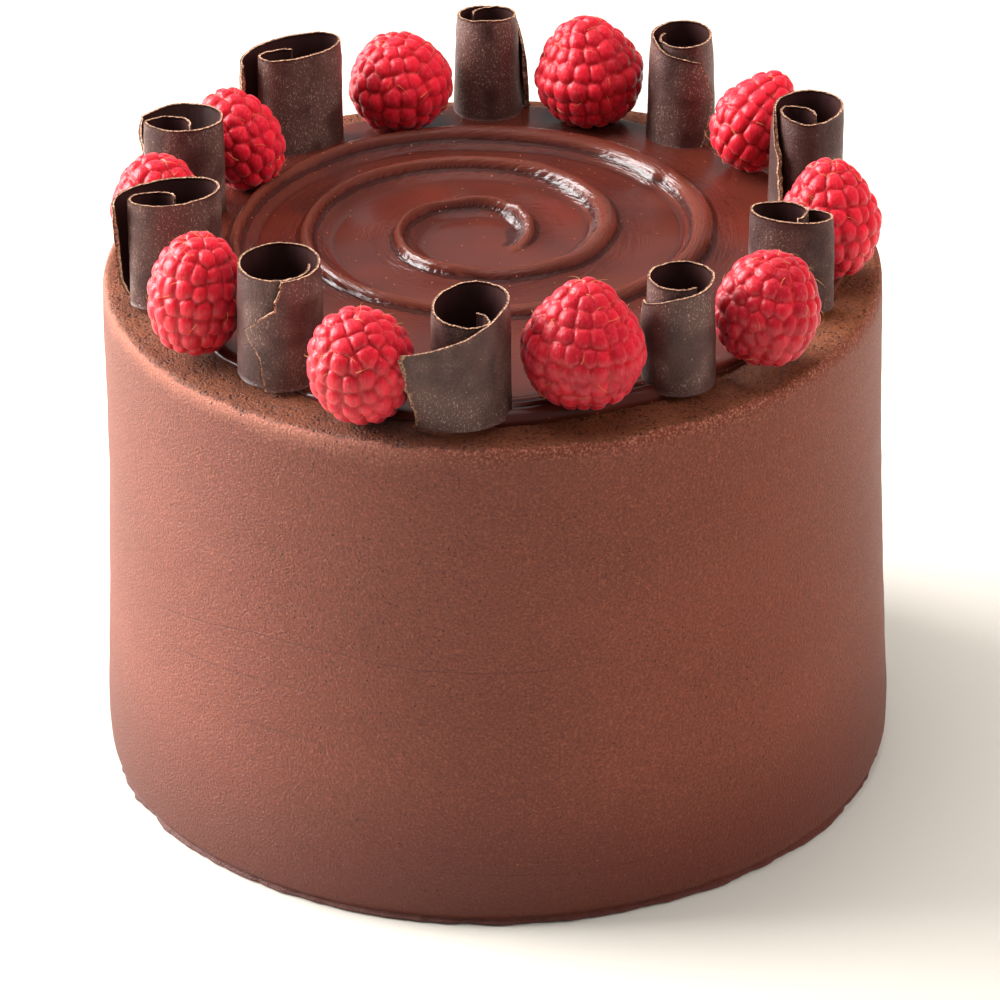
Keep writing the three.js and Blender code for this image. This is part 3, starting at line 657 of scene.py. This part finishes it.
# The folds along the front edge: how far in from it, how wide and how high.
EDGE_FOLDS = [(2.2, 1.1, 1.5), (5.0, 1.0, 1.1), (7.6, 1.2, 0.6)]


def crest_radius(turns):
    """How far the crest is from the swirl's centre. It curls on inwards before the swirl's start."""
    return spline(SWIRL_QUARTER_RADII, np.maximum(turns, 0) * 4) + 12 * np.minimum(turns, 0)


def ganache_reach(angle):
    """How far the disc's edge is from the swirl's centre along an angle."""
    radius = GANACHE_EDGE["radius"]
    direction = np.stack([np.cos(angle), np.sin(angle)], axis=1)
    offset = SWIRL_CENTRE - [0, GANACHE_EDGE["backward"]]
    along = direction @ offset
    circle = -along + np.sqrt(along**2 - offset @ offset + radius**2)
    waves = GANACHE_EDGE["wave"] * np.cos(GANACHE_EDGE["waves"] * angle)
    around = np.column_stack([direction, np.zeros(len(angle))]) * radius
    return circle + waves + ripples(around, (0.9, 11, 21), (0.35, 3.5, 22))


def ridge_profile(inside, bead, slope):
    """The ridge's section, from 0 to 1, by how far inside its outer edge a point is: a rolled bead, a long
    hollow slope inside it, and outside it a ledge that sinks slowly to the next track."""
    hollow = np.clip((bead + slope - inside) / slope, 0, 1) ** 1.8
    ledge = np.exp(np.minimum(inside, 0) / 5)
    roll = np.sqrt(np.clip(1 - ((inside - bead / 2) / (bead / 2 + 0.12)) ** 2, 0, 1))
    return 0.5 * hollow * ledge + 0.5 * roll


def swirl_height(radius, angle, place):
    """The height of the swirled ridge above the film, and how much of its flank's scoring each point has."""
    base_turn = (angle % FULL_TURN) / FULL_TURN
    right, back = np.cos(angle), np.sin(angle)
    height, flank = np.zeros(len(radius)), np.zeros(len(radius))
    for lap in range(-1, 3):
        turns = base_turn + lap
        along = np.stack([turns * 60, turns * 0 + lap, turns * 0], axis=1)
        edge = crest_radius(turns) + 1.25 - 0.9 * right - 0.4 * back + 0.25 * noise(along, 2.4, 31)
        overlap = smoothstep(turns, *OVERLAP_STARTS) * smoothstep(turns, *OVERLAP_ENDS)
        bead = 2.9 + 0.9 * right - 0.2 * back + 0.25 * noise(along, 4.0, 33) + 1.4 * overlap
        bead = bead * (0.5 + 0.5 * smoothstep(turns, -0.1, 0.9))
        slope = (4.6 - 1.2 * right) * (0.6 + 0.4 * smoothstep(turns, 0, 0.8))
        present = smoothstep(turns, -0.2, 0.08) * (1 - smoothstep(turns, *RIDGE_SINKS))
        amount = (1 + 0.1 * noise(along, 3.0, 32) + 0.12 * overlap) * present
        ridge = ridge_profile(edge - radius, bead, slope) * amount
        flank = np.where(ridge > height, ridge, flank)
        height = np.maximum(height, ridge)
    chatter = noise(np.stack([radius, angle * radius, height * 0], axis=1), (2.6, 0.9, 1), 34)
    scored = noise(np.stack([radius, angle * 4, height * 0], axis=1), (0.7, 1.6, 1), 36)
    worked = smoothstep(flank, 0.04, 0.3) * smoothstep(flank, 1.0, 0.7)
    surface = RIDGE_HEIGHT * height + (0.07 * chatter + 0.06 * scored) * worked + 0.16 * noise(place, 13, 35)
    return surface, smoothstep(flank, 0.04, 0.3)


def edge_folds(radius, reach, angle):
    """Soft folds in the ganache along its edge at the front."""
    degrees = np.degrees((angle + math.pi) % FULL_TURN - math.pi)
    front = smoothstep(degrees, -100, -90) * smoothstep(degrees, -48, -62)
    inset = reach - radius
    slant = 0.03 * (degrees + 75)
    return front * sum(
        size * np.exp(-(((inset - at - slant) / width) ** 2)) for at, width, size in EDGE_FOLDS
    )


def ganache_swirl():
    """The disc of ganache, from the swirl's centre out to its soft uneven edge."""
    shares = np.concatenate([np.linspace(start, end, count + 1)[1:] for start, end, count in GANACHE_RINGS])
    angles = np.arange(GANACHE_COLUMNS) * FULL_TURN / GANACHE_COLUMNS
    reach = ganache_reach(angles)

    share, angle = np.repeat(shares, GANACHE_COLUMNS), np.tile(angles, len(shares))
    far = np.tile(reach, len(shares))
    radius = share * far
    place = np.stack([radius * np.cos(angle), radius * np.sin(angle), 0 * radius], axis=1)
    swirled, worked = swirl_height(radius, angle, place)
    surface = FILM_THICKNESS + swirled + edge_folds(radius, far, angle)
    grid = surface.reshape(len(shares), GANACHE_COLUMNS)
    inward, outward = (np.roll(grid, shift, axis=0) for shift in (3, -3))
    # hollow is how far a point lies below its neighbours across the rings, from -1 on crests to 1 in
    # hollows; the material paints shade in the hollows and a highlight on the crests.
    hollow = np.clip(((inward + outward) / 2 - grid) / FULL_HOLLOW, -1, 1)
    hollow[:3], hollow[-3:] = 0, 0

    last_share, last_heights = shares[-1], surface[-GANACHE_COLUMNS:]
    bends = np.radians([22, 45, 68, 90])
    edge_radii = [reach * (last_share + (1 - last_share) * math.sin(bend)) for bend in bends]
    edge_heights = [last_heights * math.cos(bend) for bend in bends]
    edge_heights[-1] = edge_heights[-1] - FILM_SINKS
    radius = np.concatenate([radius, *edge_radii, reach * 0.9])
    height = np.concatenate([surface, *edge_heights, np.full(GANACHE_COLUMNS, -FILM_SINKS)])
    rows = len(shares) + len(bends) + 1
    angle = np.tile(angles, rows)

    rings = np.stack([
        SWIRL_CENTRE[0] + radius * np.cos(angle),
        SWIRL_CENTRE[1] + radius * np.sin(angle),
        CAKE_HEIGHT + height,
    ], axis=1)
    centre_height = CAKE_HEIGHT + surface[:GANACHE_COLUMNS].mean()
    middles = [[*SWIRL_CENTRE, centre_height], [*SWIRL_CENTRE, CAKE_HEIGHT - FILM_SINKS]]
    points = np.concatenate([rings, middles])
    groups = closed_groups(rows, GANACHE_COLUMNS, upward=False)
    piece = make_piece("ganache_swirl", points, groups, [ganache_material()], "ganache")
    unmarked = np.zeros(len(points) - len(surface))
    add_values(piece, "hollow", np.concatenate([hollow.ravel(), unmarked]))
    add_values(piece, "worked", np.concatenate([worked, unmarked]))
    add_values(piece, "mottle", np.clip(0.5 + ripples(points, (0.4, 14, 37), (0.35, 6, 38)), 0, 1))


# ---- Raspberries ----

BERRY_ROWS = 98
BERRY_COLUMNS = 150
HAIRS_A_BERRY = 34
HAIR_SIDES = 3
HAIR_STEPS = 9
HAIR_THICKNESS = 0.055


def berry_outline(slope, half_width, half_height, taper):
    """The radius and height of a raspberry's outline at each slope from -90 to 90 degrees."""
    cone = 1 - taper * np.maximum(0, np.sin(slope))
    return half_width * np.cos(slope) ** RASPBERRY_FULLNESS * cone, half_height * np.sin(slope)


def drupelet_middles(half_width, half_height, taper, draws):
    """The middles of the drupelets: rings of them up the berry, each ring shifted like bricks."""
    slopes = np.radians(np.linspace(-88, 89, 300))
    radii, heights = berry_outline(slopes, half_width, half_height, taper)
    lengths = np.concatenate([[0], np.cumsum(np.hypot(np.diff(radii), np.diff(heights)))])
    rings = max(6, round(lengths[-1] / DRUPELET["up"]))
    middles = []
    for ring in range(rings):
        at = (ring + 0.5) / rings * lengths[-1]
        radius, height = np.interp(at, lengths, radii), np.interp(at, lengths, heights)
        count = max(3, round(FULL_TURN * radius / DRUPELET["across"]))
        turn = draws.uniform(0, 1)
        for k in range(count):
            angle = (k + turn + draws.uniform(-0.24, 0.24)) / count * FULL_TURN
            lift = draws.uniform(-0.65, 0.65)
            middles.append([radius * math.cos(angle), radius * math.sin(angle), height + lift])
    return np.array(middles)


def lean_turn(berry):
    """The turn that leans a berry's tip the way that it points."""
    towards = math.radians(berry["towards"])
    axis = Vector((-math.sin(towards), math.cos(towards), 0))
    return np.array(Matrix.Rotation(math.radians(berry["lean"]), 3, axis))


def raspberry_fruit(number, berry, material):
    """One raspberry, fitted to its solid's box: domed drupelets pressed together, with deep creases."""
    node = f"raspberry_{number}"
    low, high = (np.array(corner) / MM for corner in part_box(node))
    draws = np.random.default_rng(100 + number)
    half_width, half_height = berry["half"]

    slopes = np.radians(np.linspace(-88.5, 88.5, BERRY_ROWS))
    bulge_room, depth = DRUPELET["bulge"], DRUPELET["depth"]
    radii, heights = berry_outline(slopes, half_width - bulge_room, half_height - bulge_room, berry["taper"])
    angles = np.arange(BERRY_COLUMNS) * FULL_TURN / BERRY_COLUMNS
    rings = np.stack([
        np.outer(radii, np.cos(angles)),
        np.outer(radii, np.sin(angles)),
        np.outer(heights, np.ones(BERRY_COLUMNS)),
    ], axis=-1).reshape(-1, 3)
    core = np.concatenate([rings, [[0, 0, heights[0] * 1.01], [0, 0, heights[-1] * 1.01]]])
    outward = core / np.array([half_width, half_width, half_height]) ** 1.4
    outward /= np.linalg.norm(outward, axis=1, keepdims=True)

    middles = drupelet_middles(half_width - depth, half_height - depth, berry["taper"], draws)
    lifts = draws.uniform(0.78, 1.0, len(middles))
    sizes = draws.uniform(-0.25, 0.25, len(middles))
    tints = berry["ripe"] + draws.uniform(-0.2, 0.2, len(middles))
    gaps = (core + outward - middles[:, None, :]) * [1, 1, 0.86]  # a drupelet is taller than it is wide
    distance = np.linalg.norm(gaps, axis=2) + sizes[:, None]
    nearest = distance.argmin(axis=0)
    first, second = np.partition(distance, 1, axis=0)[:2]
    inset = np.minimum((second - first) / 2 / DRUPELET["crease"], 1)
    faceted = (1 - (1 - inset) ** 2) ** 0.62
    domed = np.sqrt(np.clip(1 - (first / DRUPELET["reach"]) ** 2, 0.04, 1))
    bulge = (DRUPELET["faceted"] * faceted + (1 - DRUPELET["faceted"]) * domed) * lifts[nearest]
    points = core + outward * (bulge_room * bulge)[:, None]

    points = points @ lean_turn(berry).T
    spread = points.max(axis=0) - points.min(axis=0)
    points = (points - points.min(axis=0)) / spread * (high - low) + low
    points[:, 2] -= berry.get("hangs", USUAL_HANG) * smoothstep(points[:, 2], high[2], low[2])

    groups = closed_groups(BERRY_ROWS, BERRY_COLUMNS)
    piece = make_piece(f"raspberry_fruit_{number}", points, groups, [material], node)
    add_values(piece, "bulge", bulge)
    add_values(piece, "own_tint", tints[nearest])
    return points, bulge


def raspberry_hairs(berries, material):
    """Short golden hairs that lie over the drupelets of every berry, as thin three-sided tubes."""
    draws = np.random.default_rng(7)
    share = np.linspace(0, 1, HAIR_STEPS)[:, None]
    thin = HAIR_THICKNESS * (1.15 - share)
    turns = np.arange(HAIR_SIDES) * FULL_TURN / HAIR_SIDES
    tube_faces = grid_faces(HAIR_STEPS, HAIR_SIDES, closed=True)
    points, quads = [], []
    for skin, bulge in berries:
        middle = (skin.max(axis=0) + skin.min(axis=0)) / 2
        creases = np.flatnonzero((bulge < 0.72) & (skin[:, 2] > middle[2] - 7))
        for start in draws.choice(creases, HAIRS_A_BERRY, replace=False):
            root = skin[start]
            outward = (root - middle) / np.linalg.norm(root - middle)
            along = np.cross(outward, draws.normal(size=3))
            along /= np.linalg.norm(along)
            across = np.cross(outward, along)
            length, bow = draws.uniform(1.6, 3.4), draws.uniform(-1.2, 1.2)
            path = root + along * length * share + outward * (0.15 + 1.5 * share * (1.1 - share * 0.8))
            path = path + across * bow * share**2
            offsets = np.cos(turns)[:, None] * outward + np.sin(turns)[:, None] * across
            tube = path[:, None, :] + thin[:, :, None] * offsets[None, :, :]
            quads.append(tube_faces + HAIR_STEPS * HAIR_SIDES * len(points))
            points.append(tube.reshape(-1, 3))
    groups = [(np.concatenate(quads), 0)]
    make_piece("raspberry_hairs", np.concatenate(points), groups, [material], None)


# ---- Curls ----

CURL_STEPS_A_TURN = 110
CURL_LEVELS = 34
CURL_SINKS = 0.7  # how far a curl's foot is pressed down below its solid's


def roll_place(curl, turn, level):
    """The middle of the sheet in plan, as x and y from the curl's axis."""
    foot, top, shift_x, shift_y = blended(curl["roll"], turn, 0.03)
    size = foot + (top - foot) * level
    angle = math.radians(curl["start"]) + curl["sense"] * turn * FULL_TURN
    x = shift_x + size * curl["half"][0] * np.cos(angle)
    y = shift_y + size * curl["half"][1] * np.sin(angle)
    return np.stack([x, y], axis=-1)


def curl_sheet(number, curl, materials):
    """One rolled sheet of chocolate with ragged broken edges."""
    last_turn = curl["roll"][-1][0]
    steps = round(last_turn * CURL_STEPS_A_TURN)
    level_rows = np.linspace(0, 1, CURL_LEVELS) ** 0.85
    share, level = np.meshgrid(np.linspace(0, 1, steps), level_rows, indexing="ij")
    share, level = share.ravel(), level.ravel()
    seeds = 50 * number

    still = np.zeros(len(level))
    up_edge = np.stack([level * curl["height"], still, still], axis=1)
    ragged = ripples(up_edge, (0.006, 1.7, seeds), (0.003, 0.6, seeds + 1))
    first_turn = np.interp(level, *zip(*curl["free_edge"])) + ragged
    turn = first_turn + (last_turn - first_turn) * share

    middle = roll_place(curl, turn, level)
    reach = 0.006
    along = roll_place(curl, turn + reach, level) - roll_place(curl, turn - reach, level)
    along /= np.linalg.norm(along, axis=1, keepdims=True)
    out = np.stack([along[:, 1], -along[:, 0]], axis=1) * curl["sense"]

    (drop,) = blended(curl["rim"], turn, 0.02)
    arc = turn * FULL_TURN * sum(curl["half"]) / 2
    along_rim = np.stack([arc, still, still], axis=1)
    chipped = ripples(along_rim, (0.09, 1.9, seeds + 2), (0.05, 0.6, seeds + 3))
    height = level * (curl["height"] - drop + np.minimum(chipped, 0.12) * level**6)

    sheet = np.stack([arc, height, still], axis=1)
    dents = ripples(sheet, (0.16, (3.6, 9, 1), seeds + 4), (0.05, (1.2, 3, 1), seeds + 5))
    rim_taper = 1 - 0.45 * smoothstep(level, 0.8, 1.0)
    half_wall = CURL_WALL / 2 * rim_taper * (1 + 0.12 * noise(sheet, 2.5, seeds + 6))
    faces_of_sheet = []
    for side in (1, -1):  # outside and inside
        plan = middle + out * (dents * 0.6 + side * half_wall)[:, None]
        ragged_top = 0.05 * noise(sheet + side * 7, 0.7, seeds + 7) * level**12
        faces_of_sheet.append(np.column_stack([plan, height + ragged_top]))
    points = np.concatenate(faces_of_sheet)

    yaw = math.radians(curl["yaw"])
    turned = np.array([[math.cos(yaw), -math.sin(yaw)], [math.sin(yaw), math.cos(yaw)]])
    foot_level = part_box(f"curl_{number}")[0][2] / MM
    points[:, :2] = points[:, :2] @ turned.T + np.array(curl["at"])
    points[:, 2] = foot_level + points[:, 2] - CURL_SINKS * (1 - np.tile(level, 2))

    count = len(middle)
    outer = grid_faces(steps, CURL_LEVELS, closed=False)
    inner = outer[:, ::-1] + count
    columns, between = np.arange(CURL_LEVELS), np.arange(1, steps - 1) * CURL_LEVELS
    last_column = (steps - 1) * CURL_LEVELS + columns
    outline = np.concatenate([columns, between + CURL_LEVELS - 1, last_column[::-1], between[::-1]])
    ahead = np.roll(outline, -1)
    edge = np.stack([outline, ahead, ahead + count, outline + count], axis=1)
    if curl["sense"] < 0:
        outer, inner, edge = (faces[:, ::-1] for faces in (outer, inner, edge))
    strip = CURL_LEVELS - 1  # the faces along the free edge, which are pale as the broken edges are
    groups = [(outer[strip:], 0), (inner, 1), (outer[:strip], 2), (edge, 2)]
    piece = make_piece(f"curl_sheet_{number}", points, groups, materials, f"curl_{number}")
    layered = ripples(points, (0.5, 4.5, seeds + 8), (0.25, 2.2, seeds + 9))
    add_values(piece, "bloom_and_painted_light", smoothstep(layered + curl["bloom_and_painted_light"] * 2, 0.0, 0.55))
    mottle = 0.5 + ripples(points, (0.4, (2.6, 2.6, 7), seeds + 10), (0.3, (1.3, 1.3, 3.5), seeds + 11))
    add_values(piece, "mottle", np.clip(mottle, 0, 1))


# ---- Studio ----

# In metres and degrees, and the lens in millimetres.
CAMERA = {"distance": 1.398, "height_seen": 0.0431, "side_shift": 0.0009, "elevation": 29.03,
          "pitch": 28.72, "roll": -0.84, "lens": 248.3}
FLOOR_REACH = 6.0
WORLD_STRENGTH = 0.2
# Each light's azimuth from +X and elevation in degrees, distance and size in metres, and power in watts.
LIGHTS = {
    "key_light": (165, 25, 1.5, 1.1, 90),
    "right_light": (-4, 20, 1.6, 0.9, 23),
    "overhead_light": (0, 88, 1.5, 1.2, 4),
    "middle_light": (90, 86, 0.5, 0.25, 1.6),
    "back_light": (95, 30, 1.6, 1.0, 0.8),
    "front_light": (-70, 38, 1.8, 1.2, 3.2),
}
MIRRORED_LIGHTS = ("key_light", "overhead_light", "back_light")  # the ones that glossy surfaces reflect


def place_camera():
    """A long lens that looks down on the cake from the front."""
    lens = bpy.data.cameras.new("camera")
    lens.lens, lens.sensor_width, lens.clip_end = CAMERA["lens"], 36, 20
    camera = bpy.data.objects.new("camera", lens)
    bpy.context.collection.objects.link(camera)
    elevation = math.radians(CAMERA["elevation"])
    away, above = CAMERA["distance"] * math.cos(elevation), CAMERA["distance"] * math.sin(elevation)
    location = Matrix.Translation((CAMERA["side_shift"], -away, CAMERA["height_seen"] + above))
    tilt = Matrix.Rotation(math.radians(90 - CAMERA["pitch"]), 4, "X")
    camera.matrix_world = location @ tilt @ Matrix.Rotation(math.radians(CAMERA["roll"]), 4, "Z")
    bpy.context.scene.camera = camera


def softbox(name, azimuth, elevation, distance, size, watts):
    """A square light aimed at the cake."""
    light = bpy.data.lights.new(name, "AREA")
    light.energy, light.size = watts, size
    lamp = bpy.data.objects.new(name, light)
    lamp.visible_glossy = name in MIRRORED_LIGHTS
    bpy.context.collection.objects.link(lamp)
    azimuth, elevation = math.radians(azimuth), math.radians(elevation)
    aim = Vector((0, 0, 0.08))
    level = math.cos(elevation)
    toward = Vector((level * math.cos(azimuth), level * math.sin(azimuth), math.sin(elevation)))
    lamp.location = aim + distance * toward
    lamp.rotation_euler = (-toward).to_track_quat("-Z", "Y").to_euler()


def studio():
    """A pale floor and soft light, strongest from the left and a little behind."""
    world = bpy.data.worlds.new("studio")
    world.use_nodes = True
    sky = world.node_tree.nodes["Background"].inputs
    sky["Color"].default_value = (1, 1, 1, 1)
    sky["Strength"].default_value = WORLD_STRENGTH
    bpy.context.scene.world = world
    for name, settings in LIGHTS.items():
        softbox(name, *settings)

    floor_mesh = bpy.data.meshes.new("floor")
    corners = [(x * FLOOR_REACH, y * FLOOR_REACH, 0) for x, y in ((-1, -1), (1, -1), (1, 1), (-1, 1))]
    floor_mesh.from_pydata(corners, [], [(0, 1, 2, 3)])
    floor = bpy.data.objects.new("floor", floor_mesh)
    bpy.context.collection.objects.link(floor)
    shader = Shader("pale_floor", Roughness=0.9)
    painted_streak_highlight = shader.mix(shader.grain(300.0), (0.64, 0.60, 0.53, 1), (0.66, 0.62, 0.55, 1))
    floor_mesh.materials.append(shader.colour(painted_streak_highlight))
    bpy.context.scene.view_settings.view_transform = "Standard"


# ---- The whole cake ----

place_camera()
studio()
frosting_coat()
ganache_swirl()
skin_material = raspberry_material()
fruits = [raspberry_fruit(number, berry, skin_material) for number, berry in enumerate(RASPBERRIES, 1)]
raspberry_hairs(fruits, hair_material())
sheet_materials = [curl_outside_material(), curl_inside_material(), curl_edge_material()]
for number, curl in enumerate(CURLS, 1):
    curl_sheet(number, curl, sheet_materials)
